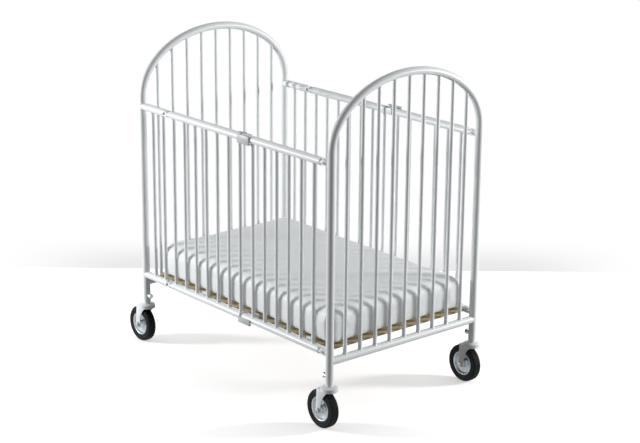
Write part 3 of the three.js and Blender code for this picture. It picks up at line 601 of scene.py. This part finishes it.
def hinge_leaf(toward, out, y, z):
    """Leaf and knuckles of a butt hinge on one half; toward is -1 on the left half, 1 on the right."""
    axis_y = y - out * HINGE_REACH
    depth = sorted((y - out * (TUBE_R - WELD_LAP), axis_y + out * FIT_GAP))
    flat = sorted((HINGE_X + toward * LEAF_SETBACK, HINGE_X + toward * LEAF_LENGTH))
    parts = [plate(box_outline(flat, depth), z - LEAF_HEIGHT / 2, z + LEAF_HEIGHT / 2)]
    step = LEAF_HEIGHT / KNUCKLES
    for k in range(0 if toward < 0 else 1, KNUCKLES, 2):
        low = z - LEAF_HEIGHT / 2 + k * step + FIT_GAP / 2
        high = low + step - FIT_GAP
        tab = sorted((HINGE_X, HINGE_X + toward * (LEAF_SETBACK + WELD_LAP)))
        parts.append(plate(box_outline(tab, depth), low, high, edge=0))
        parts.append(turned([(0, low), (KNUCKLE_R - EDGE_ROUND, low), (KNUCKLE_R, low + EDGE_ROUND),
                             (KNUCKLE_R, high - EDGE_ROUND), (KNUCKLE_R - EDGE_ROUND, high), (0, high)],
                            (HINGE_X, axis_y, 0)))
    return parts


def side_half(node, out, ends, pivot, rods, toward):
    """One welded half: rods between two rails, with a tongue at the pivot and a leaf at the middle."""
    y = out * POST_Y
    first, last, count = rods
    step = (last - first) / (count - 1)
    parts = [spindles((first, y, RAIL_HEIGHTS["lower"]), (step, 0, 0), count, rail_height)]
    root = ends[0] + WELD_DEPTH if toward < 0 else ends[1] - WELD_DEPTH
    for z in RAIL_HEIGHTS.values():
        parts.append(tube([(ends[0], y, z), (ends[1], y, z)]))
        parts.append(plate(eye_outline(root, pivot, y), z - TONGUE_T / 2, z + TONGUE_T / 2))
        parts += hinge_leaf(toward, out, y, z)
    fit(node, parts, white_coat)


for side, out in SIDES.items():
    side_half(f"{side}_left_panel", out, (WING_PIVOT_X + TUBE_SETBACK, HINGE_X - RAIL_SETBACK),
              WING_PIVOT_X, (WING_PIVOT_X + LEFT_FIRST, HINGE_X - LEFT_LAST, LEFT_RODS), -1)
    side_half(f"{side}_right_panel", out, (HINGE_X + RAIL_SETBACK, PIVOT_B_X - TUBE_SETBACK), PIVOT_B_X,
              (HINGE_X + RIGHT_FIRST, PIVOT_B_X - RIGHT_LAST, RIGHT_RODS), 1)


# Pivot rivets
# Upright steel rivets through the lugs and tongues, headed over at both ends and coated
# with the frame.
RIVET_R = 4 * MM
RIVET_HEAD_R = 7 * MM
RIVET_HEAD_H = 3 * MM
RIVET_GRIP = TONGUE_T / 2 + FIT_GAP + LUG_T + FIT_GAP
DOME = ((1, 0), (1, 0.35), (0.86, 0.72), (0.55, 0.94), (0, 1))  # shares of a head's radius and height


def headed(radius, grip, head_radius, head_height):
    """Profile of a pin with a domed head past its grip at each end."""
    head = [(head_radius * wide, grip + head_height * up) for wide, up in DOME]
    tail = [(wide, -up) for wide, up in reversed(head)]
    return tail + [(radius, -grip), (radius, grip)] + head


for side, out in SIDES.items():
    for place, x in (("wing", WING_PIVOT_X), ("end", PIVOT_B_X)):
        for rail, z in RAIL_HEIGHTS.items():
            rivet = headed(RIVET_R, RIVET_GRIP, RIVET_HEAD_R, RIVET_HEAD_H)
            fit(f"{side}_{rail}_{place}_pin", [turned(rivet, (x, out * POST_Y, z))], white_coat)


# Hinge pins
# Bright zinc-plated steel pins through the hinge knuckles, headed over above and below once
# the two halves of a hinge are put together.
HINGE_PIN_R = 2.5 * MM
HINGE_HEAD_R = 4 * MM
HINGE_HEAD_H = 2 * MM
ZINC_BLOTCH = 14 * MM


def zinc_plate():
    """Bright zinc plate on steel: a bluish metal with soft blotches, duller in some than in others."""
    material, tree, shader, where = new_finish("bright_zinc_plate")
    shader.inputs["Metallic"].default_value = 1.0
    blotch = add_node(tree, "ShaderNodeTexNoise", {"Vector": where, "Scale": 1 / ZINC_BLOTCH, "Detail": 4.0})
    tint = add_node(tree, "ShaderNodeMix",
                    {"Factor": blotch.outputs["Fac"], "A": linear("#8f979d"), "B": linear("#c3c9cd")},
                    data_type="RGBA")
    tree.links.new(tint.outputs["Result"], shader.inputs["Base Color"])
    gloss = add_node(tree, "ShaderNodeMapRange",
                     {"Value": blotch.outputs["Fac"], "From Min": 0.3, "From Max": 0.7,
                      "To Min": 0.28, "To Max": 0.46})
    tree.links.new(gloss.outputs["Result"], shader.inputs["Roughness"])
    return material


zinc = zinc_plate()
for side, out in SIDES.items():
    for rail, z in RAIL_HEIGHTS.items():
        pin = headed(HINGE_PIN_R, LEAF_HEIGHT / 2 + FIT_GAP, HINGE_HEAD_R, HINGE_HEAD_H)
        fit(f"{side}_{rail}_hinge_pin", [turned(pin, (HINGE_X, out * (POST_Y - HINGE_REACH), z))], zinc)


# Middle saddles
# Grey painted steel angles that bridge the middle joint outside each rail and stop it from
# opening inwards. The far side has the same piece turned over.
SADDLE_BACK = 7 * MM
SADDLE_FRONT = 54 * MM
SADDLE_T = 4 * MM
SADDLE_LIP = 5 * MM
SADDLE_LEDGE = 5.5 * MM
SADDLE_COVER = {"upper": 0.9, "lower": 0.15}  # shares of the rail's radius
SADDLE_EDGE = 1.2 * MM
GREY_CLOUD = 9 * MM
GREY_DEPTH = 0.2 * MM


def grey_paint():
    """Satin grey paint on steel, a little uneven."""
    material, tree, shader, where = new_finish("satin_grey_paint")
    shader.inputs["Roughness"].default_value = 0.42
    cloud = add_node(tree, "ShaderNodeTexNoise", {"Vector": where, "Scale": 1 / GREY_CLOUD, "Detail": 3.0})
    tint = add_node(tree, "ShaderNodeMix",
                    {"Factor": cloud.outputs["Fac"], "A": linear("#a9adae"), "B": linear("#c0c4c5")},
                    data_type="RGBA")
    tree.links.new(tint.outputs["Result"], shader.inputs["Base Color"])
    bump = add_node(tree, "ShaderNodeBump",
                    {"Height": cloud.outputs["Fac"], "Strength": 0.15, "Distance": GREY_DEPTH})
    tree.links.new(bump.outputs["Normal"], shader.inputs["Normal"])
    return material


grey = grey_paint()
for side, out in SIDES.items():
    for rail, z in RAIL_HEIGHTS.items():
        face = TUBE_R + FIT_GAP
        covered = -TUBE_R * SADDLE_COVER[rail]
        section = [(face, covered), (face + SADDLE_T, covered),
                   (face + SADDLE_T, TUBE_R + SADDLE_LIP), (face, TUBE_R + SADDLE_LIP),
                   (face, face + SADDLE_T), (face - SADDLE_LEDGE, face + SADDLE_T),
                   (face - SADDLE_LEDGE, face), (face, face)]
        outline = [(out * (POST_Y + across), z + out * up) for across, up in section]
        angle = plate(outline, HINGE_X - SADDLE_BACK, HINGE_X + SADDLE_FRONT, axis="x", edge=SADDLE_EDGE)
        fit(f"{side}_{rail}_saddle", [angle], grey)


# Deck rod, straps and bars
# A zinc rod between the wing plates carries the deck on two rolled straps. Three flat white
# cross bars lie under the board, their ends bent up to hook over the lower rails.
STRAP_R = 8 * MM
STRAP_LEAF_T = 3 * MM
STRAP_LEAF_LENGTH = 46 * MM
ROD_R = 5 * MM
ROD_CHAMFER = 1 * MM
BAR_T = 6 * MM
BARS = 3
rod_profile = [(0, rod_low.y), (ROD_R - ROD_CHAMFER, rod_low.y), (ROD_R, rod_low.y + ROD_CHAMFER),
               (ROD_R, rod_high.y - ROD_CHAMFER), (ROD_R - ROD_CHAMFER, rod_high.y), (0, rod_high.y)]
fit("deck_pivot_rod", [turned(rod_profile, (ROD_X, 0, ROD_Z), axis="y")], zinc)
for side in SIDES:
    low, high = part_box(f"{side}_deck_strap")
    ring = [(ROD_R + FIT_GAP, low.y), (STRAP_R, low.y), (STRAP_R, high.y), (ROD_R + FIT_GAP, high.y),
            (ROD_R + FIT_GAP, low.y)]
    leaf = box_outline((ROD_X, ROD_X + STRAP_LEAF_LENGTH), (high.z - STRAP_LEAF_T, high.z))
    eye = turned(ring, (ROD_X, 0, ROD_Z), axis="y")
    fit(f"{side}_deck_strap", [eye, plate(leaf, low.y, high.y, axis="y")], zinc)
for number in range(1, BARS + 1):
    low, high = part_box(f"deck_bar_{number}")
    step_out = POST_Y - TUBE_R - FIT_GAP
    step_in = step_out - BAR_T
    half = [(step_out, low.z), (step_out, high.z - BAR_T), (high.y, high.z - BAR_T), (high.y, high.z),
            (step_in, high.z), (step_in, low.z + BAR_T)]
    section = half + [(-across, up) for across, up in reversed(half)]
    fit(f"deck_bar_{number}", [plate(section, low.x, high.x, axis="x")], white_coat)


# Deck board
# One sheet of tempered hardboard, sawn to size, smooth brown faces and a fibrous edge.
# It lies on the straps and the cross bars, under the mattress.
BOARD_CORNER = 12 * MM
CORNER_STEPS = 6
BOARD_CLOUD = 80 * MM
BOARD_FIBRE = 5 * MM  # fibres are about 1 mm long; drawn coarser so that they show
BOARD_FIBRE_DEPTH = 0.3 * MM


def hardboard():
    """Pressed wood fibre, oil tempered: warm brown, mottled, with a dull sheen."""
    material, tree, shader, where = new_finish("tempered_hardboard")
    shader.inputs["Roughness"].default_value = 0.62
    fibre = add_node(tree, "ShaderNodeTexNoise", {"Vector": where, "Scale": 1 / BOARD_FIBRE, "Detail": 6.0})
    cloud = add_node(tree, "ShaderNodeTexNoise", {"Vector": where, "Scale": 1 / BOARD_CLOUD, "Detail": 2.0})
    warm = add_node(tree, "ShaderNodeMix",
                    {"Factor": cloud.outputs["Fac"], "A": linear("#a49472"), "B": linear("#beae8b")},
                    data_type="RGBA")
    tint = add_node(tree, "ShaderNodeMix",
                    {"Factor": fibre.outputs["Fac"], "A": linear("#8c7d5d"), "B": warm.outputs["Result"]},
                    data_type="RGBA")
    tree.links.new(tint.outputs["Result"], shader.inputs["Base Color"])
    bump = add_node(tree, "ShaderNodeBump",
                    {"Height": fibre.outputs["Fac"], "Strength": 0.3, "Distance": BOARD_FIBRE_DEPTH})
    tree.links.new(bump.outputs["Normal"], shader.inputs["Normal"])
    return material


def rounded_outline(x_range, y_range, radius, steps):
    """Rectangle with round corners, in plan."""
    corners = [(x_range[1], y_range[1], 0), (x_range[0], y_range[1], 1), (x_range[0], y_range[0], 2),
               (x_range[1], y_range[0], 3)]
    points = []
    for x, y, quarter in corners:
        cx = x - radius if quarter in (0, 3) else x + radius
        cy = y - radius if quarter in (0, 1) else y + radius
        for k in range(steps + 1):
            angle = math.pi / 2 * (quarter + k / steps)
            points.append((cx + radius * math.cos(angle), cy + radius * math.sin(angle)))
    return points


low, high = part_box("deck_board")
board = rounded_outline((low.x, high.x), (low.y, high.y), BOARD_CORNER, CORNER_STEPS)
fit("deck_board", [plate(board, low.z, high.z)], hardboard())


# Mattress
# A foam pad in a coated fabric cover, with no seam in sight. The cover is pulled tight over
# the foam, so the faces crown and the sides draw in between the corners.
COVER_CLOUD = 120 * MM
COVER_THREAD = 3 * MM  # threads are 0.4 mm apart; drawn coarser so that the grain shows
COVER_THREAD_DEPTH = 0.3 * MM
MERGE = 0.01 * MM
VOXEL = 6 * MM
SHRINK = 3 * MM  # the pad starts smaller by this much on each face, and swells back
SWELL_CAP = 4.5 * MM
SWELL_FRAMES = 20
SWELL_PRESSURE = 4.0


def cover_cloth():
    """Coated woven cover: pale grey, soft sheen, a fine even grain and slight mottling."""
    material, tree, shader, where = new_finish("coated_fabric_cover")
    shader.inputs["Roughness"].default_value = 0.55
    shader.inputs["Sheen Weight"].default_value = 0.15
    cloud = add_node(tree, "ShaderNodeTexNoise", {"Vector": where, "Scale": 1 / COVER_CLOUD, "Detail": 3.0})
    tint = add_node(tree, "ShaderNodeMix",
                    {"Factor": cloud.outputs["Fac"], "A": linear("#dcdfe1"), "B": linear("#e6e9ea")},
                    data_type="RGBA")
    tree.links.new(tint.outputs["Result"], shader.inputs["Base Color"])
    weave = add_node(tree, "ShaderNodeTexVoronoi",
                     {"Vector": where, "Scale": 1 / COVER_THREAD, "Randomness": 0.35})
    bump = add_node(tree, "ShaderNodeBump",
                    {"Height": weave.outputs["Distance"], "Strength": 0.18, "Distance": COVER_THREAD_DEPTH})
    tree.links.new(bump.outputs["Normal"], shader.inputs["Normal"])
    return material


low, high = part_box("mattress")
middle = (low + high) / 2
pad_mesh = frame["nodes"]["mattress"].data.copy()
pad_mesh.materials.clear()
pad = bpy.data.objects.new("mattress_cover", pad_mesh)
bpy.context.scene.collection.objects.link(pad)
shape = bmesh.new()
shape.from_mesh(pad_mesh)
bmesh.ops.remove_doubles(shape, verts=shape.verts, dist=MERGE)
size = high - low
for vert in shape.verts:
    offset = vert.co - middle
    vert.co = middle + Vector(offset[k] * (1 - 2 * SHRINK / size[k]) for k in range(3))
shape.to_mesh(pad_mesh)
shape.free()


def apply_modifiers(piece):
    """Turns a piece with its modifiers into a plain mesh."""
    graph = bpy.context.evaluated_depsgraph_get()
    made = bpy.data.meshes.new_from_object(piece.evaluated_get(graph), depsgraph=graph)
    piece.modifiers.clear()
    piece.data = made


remesh = pad.modifiers.new("voxels", "REMESH")
remesh.mode = "VOXEL"
remesh.voxel_size = VOXEL
apply_modifiers(pad)
start = [vert.co.copy() for vert in pad.data.vertices]
cloth = pad.modifiers.new("swell", "CLOTH")
cloth.settings.use_pressure = True
cloth.settings.uniform_pressure_force = SWELL_PRESSURE
cloth.settings.effector_weights.gravity = 0
cloth.point_cache.frame_start = 1
cloth.point_cache.frame_end = SWELL_FRAMES
for number in range(1, SWELL_FRAMES + 1):
    bpy.context.scene.frame_set(number)
apply_modifiers(pad)
bpy.context.scene.frame_set(1)
for vert, before in zip(pad.data.vertices, start):
    moved = vert.co - before
    if moved.length > SWELL_CAP:
        vert.co = before + moved * (SWELL_CAP / moved.length)
    vert.co.z = max(vert.co.z, low.z)
pad.data.materials.clear()
pad.data.materials.append(cover_cloth())
pad.data.shade_smooth()
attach(pad, "deck")
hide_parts("mattress")


# Casters
# Under each leg a coated stem with a bearing race carries a pressed white fork, a steel disc
# rim on an axle bolt and a solid black rubber tyre. A side bolt clamps the stem in the leg.
WHEEL_R = 63.5 * MM
TRAIL = 30 * MM
TYRE_HALF = 15 * MM
RIM_R = 40 * MM
RIM_HALF = 13 * MM
WEB_HALF = 4.5 * MM
HUB_R = 12 * MM
FORK_IN = 18 * MM
FORK_T = 3 * MM
BOSS_R = 11 * MM
CROWN_R = 29 * MM
CROWN_T = 5 * MM
CROWN_Z = 130 * MM
CROWN_TAIL = 8 * MM
CROWN_EDGE = 1.5 * MM
CROWN_STEPS = 24
FORK_ROOT = 18 * MM
FORK_LEAN = 4 * MM  # the leg's front edge bends about a point this far ahead of the boss
FORK_DROP = 14 * MM  # and this far under the crown
FORK_STEPS = 8
BOSS_STEPS = 14
AXLE_R = 4 * MM
NUT_R = 8 * MM
NUT_H = 6 * MM
NUT_EDGE = 1 * MM
RACE_R = 28 * MM
RACE_RIM = 7 * MM
RACE_TOP_R = 16 * MM
RACE_EDGE = 1 * MM
STEM_R = 8 * MM
STEM_LENGTH = 55 * MM
KINGPIN_R = 6 * MM
KINGPIN_HEAD_R = 10 * MM
KINGPIN_HEAD_H = 3 * MM
CLAMP_RISE = 30 * MM
CLAMP_R = 4 * MM
CLAMP_COLLAR_R = 7 * MM
CLAMP_COLLAR_H = 7 * MM
CLAMP_HEAD_R = 9 * MM
CLAMP_HEAD_H = 8 * MM
WHEEL_SIDES = 64
TYRE_CREASE = math.radians(50)
RUBBER_DUST = 25 * MM
RUBBER_GRAIN = 2 * MM  # about 0.5 mm from a real mould; drawn coarser so that it shows
RUBBER_GRAIN_DEPTH = 0.2 * MM


def black_rubber():
    """Moulded rubber: near black, matt, dusty in random patches, with a fine mould grain."""
    material, tree, shader, where = new_finish("moulded_black_rubber")
    shader.inputs["Specular IOR Level"].default_value = 0.15
    dust = add_node(tree, "ShaderNodeTexNoise", {"Vector": where, "Scale": 1 / RUBBER_DUST, "Detail": 5.0})
    tint = add_node(tree, "ShaderNodeMix",
                    {"Factor": dust.outputs["Fac"], "A": linear("#050606"), "B": linear("#101112")},
                    data_type="RGBA")
    tree.links.new(tint.outputs["Result"], shader.inputs["Base Color"])
    gloss = add_node(tree, "ShaderNodeMapRange",
                     {"Value": dust.outputs["Fac"], "From Min": 0.3, "From Max": 0.7,
                      "To Min": 0.5, "To Max": 0.72})
    tree.links.new(gloss.outputs["Result"], shader.inputs["Roughness"])
    grain = add_node(tree, "ShaderNodeTexNoise", {"Vector": where, "Scale": 1 / RUBBER_GRAIN})
    bump = add_node(tree, "ShaderNodeBump",
                    {"Height": grain.outputs["Fac"], "Strength": 0.2, "Distance": RUBBER_GRAIN_DEPTH})
    tree.links.new(bump.outputs["Normal"], shader.inputs["Normal"])
    return material


rubber = black_rubber()


def arc(centre, radius, start, end, steps):
    """Points of an arc between two angles."""
    angles = [start + (end - start) * k / steps for k in range(steps + 1)]
    return [(centre[0] + radius * math.cos(a), centre[1] + radius * math.sin(a)) for a in angles]


def hexagon(radius, low, high, centre, axis):
    """Hexagon head on an x or y axis, with its edges rounded."""
    along, across = {"x": (0, 1), "y": (1, 0)}[axis]
    corners = [math.pi / 3 * k for k in range(6)]
    outline = [(centre[across] + radius * math.cos(a), centre[2] + radius * math.sin(a)) for a in corners]
    return plate(outline, centre[along] + low, centre[along] + high, axis=axis, edge=NUT_EDGE)


def fork_parts(x, y):
    """Pressed fork: crown plate and tapered legs with axle bosses."""
    top = CROWN_Z + CROWN_T / 2
    axle = (x - TRAIL, WHEEL_R)
    front = axle[0] + BOSS_R
    tail = x - CROWN_R - CROWN_TAIL
    sweep = []
    for k in range(FORK_STEPS + 1):
        t = k / FORK_STEPS
        a, b, c = (1 - t) ** 2, 2 * t * (1 - t), t * t
        sweep.append((a * (x + FORK_ROOT) + b * (front + FORK_LEAN) + c * front,
                      a * top + b * (CROWN_Z - FORK_DROP) + c * WHEEL_R))
    leg = sweep + arc(axle, BOSS_R, 0, -math.pi, BOSS_STEPS)[1:] + [(tail, top)]
    parts = []
    for out in (-1, 1):
        faces = sorted((y + out * FORK_IN, y + out * (FORK_IN + FORK_T)))
        parts.append(plate(leg, *faces, axis="y"))
    wide = FORK_IN + FORK_T
    nose = arc((x, y), CROWN_R, -math.pi / 2, math.pi / 2, CROWN_STEPS)
    crown = [(tail, y - wide), *nose, (tail, y + wide)]
    parts.append(plate(crown, CROWN_Z, CROWN_Z + CROWN_T, edge=CROWN_EDGE))
    return parts


# Half outlines of the wheel, from the near face to its middle plane, as millimetres of offset:
# out from the rim or in from the tread, then in from the side face
TYRE_BEAD = ((4, 1), (6, 0))
TYRE_RING = ((9, 0), (10, 0.8), (11, 0))
TYRE_SHOULDER = ((7, 0), (3.6, 1), (1.5, 3), (0.4, 5.5), (0, 8))
TREAD_GROOVE = ((0, 4.4), (2, 3.8), (2, 2.6), (0, 2))  # deep, and off the middle plane
HUB_FOOT = ((1, 2), (3, 0))  # out from the hub, then proud of the web
WEB_DISH = ((12, 0), (7, 1))  # in from the rim, then proud of the web
RIM_FLANGE = ((4.5, 3), (3, 0.5), (2, 0), (0, 0))  # in from the rim, then in from its side face
HUB_EDGE = 1 * MM
HUB_TAPER = 1.5 * MM
tyre_half = [(RIM_R + FIT_GAP, -RIM_HALF)]
tyre_half += [(RIM_R + up * MM, inset * MM - TYRE_HALF) for up, inset in TYRE_BEAD + TYRE_RING]
tyre_half += [(WHEEL_R - down * MM, inset * MM - TYRE_HALF) for down, inset in TYRE_SHOULDER]
tyre_half += [(WHEEL_R - deep * MM, -off * MM) for deep, off in TREAD_GROOVE]
rim_half = [(AXLE_R + FIT_GAP, FIT_GAP - FORK_IN), (HUB_R - HUB_EDGE, FIT_GAP - FORK_IN),
            (HUB_R, HUB_TAPER - FORK_IN)]
rim_half += [(HUB_R + up * MM, -WEB_HALF - proud * MM) for up, proud in HUB_FOOT]
rim_half += [(RIM_R - down * MM, -WEB_HALF - proud * MM) for down, proud in WEB_DISH]
rim_half += [(RIM_R - down * MM, inset * MM - RIM_HALF) for down, inset in RIM_FLANGE]


def whole(half):
    """Closed wheel profile from the half on one side of its middle plane."""
    return half + [(radius, -across) for radius, across in reversed(half)] + [half[0]]


for end, x, inward in (("a", END_A_X, 1), ("b", END_B_X, -1)):
    for side, out in SIDES.items():
        y = out * POST_Y
        label = f"{side}_{end}"
        axle = (x - TRAIL, y, WHEEL_R)
        stem_top = LEG_END_Z + STEM_LENGTH
        head_high = CROWN_Z - FIT_GAP
        race_low = CROWN_Z + CROWN_T + FIT_GAP
        race_high = LEG_END_Z - FIT_GAP
        stem = [(0, head_high - KINGPIN_HEAD_H), (KINGPIN_HEAD_R, head_high - KINGPIN_HEAD_H),
                (KINGPIN_HEAD_R, head_high), (KINGPIN_R, head_high), (KINGPIN_R, race_low),
                (RACE_R - RACE_EDGE, race_low), (RACE_R, race_low + RACE_EDGE),
                (RACE_R, race_low + RACE_RIM - RACE_EDGE), (RACE_R - RACE_EDGE, race_low + RACE_RIM),
                (RACE_TOP_R, race_high), (STEM_R, race_high), (STEM_R, stem_top), (0, stem_top)]
        fit(f"{label}_caster_stem", [turned(stem, (x, y, 0))], white_coat)
        fit(f"{label}_caster_fork", fork_parts(x, y), white_coat)
        fit(f"{label}_wheel_rim", [turned(whole(rim_half), axle, axis="y", sides=WHEEL_SIDES)], zinc)
        fit(f"{label}_tyre", [turned(whole(tyre_half), axle, axis="y", sides=WHEEL_SIDES)], rubber,
            crease=TYRE_CREASE)
        grip = FORK_IN + FORK_T + FIT_GAP
        shank = turned([(0, -grip), (AXLE_R, -grip), (AXLE_R, grip), (0, grip)], axle, axis="y")
        nuts = [hexagon(NUT_R, *sorted((hand * grip, hand * (grip + NUT_H))), axle, "y") for hand in (-1, 1)]
        fit(f"{label}_axle_bolt", [shank, *nuts], zinc)
        clamp = (x, y, LEG_END_Z + CLAMP_RISE)
        tip, collar = inward * (STEM_R + 2 * FIT_GAP), inward * (TUBE_R + FIT_GAP)
        collar_end = collar + inward * CLAMP_COLLAR_H
        bolt = turned([(0, tip), (CLAMP_R, tip), (CLAMP_R, collar), (CLAMP_COLLAR_R, collar),
                       (CLAMP_COLLAR_R, collar_end), (0, collar_end)], clamp, axis="x")
        head_faces = sorted((collar_end, collar_end + inward * CLAMP_HEAD_H))
        head = hexagon(CLAMP_HEAD_R, *head_faces, clamp, "x")
        fit(f"{label}_clamp_bolt", [bolt, head], zinc)
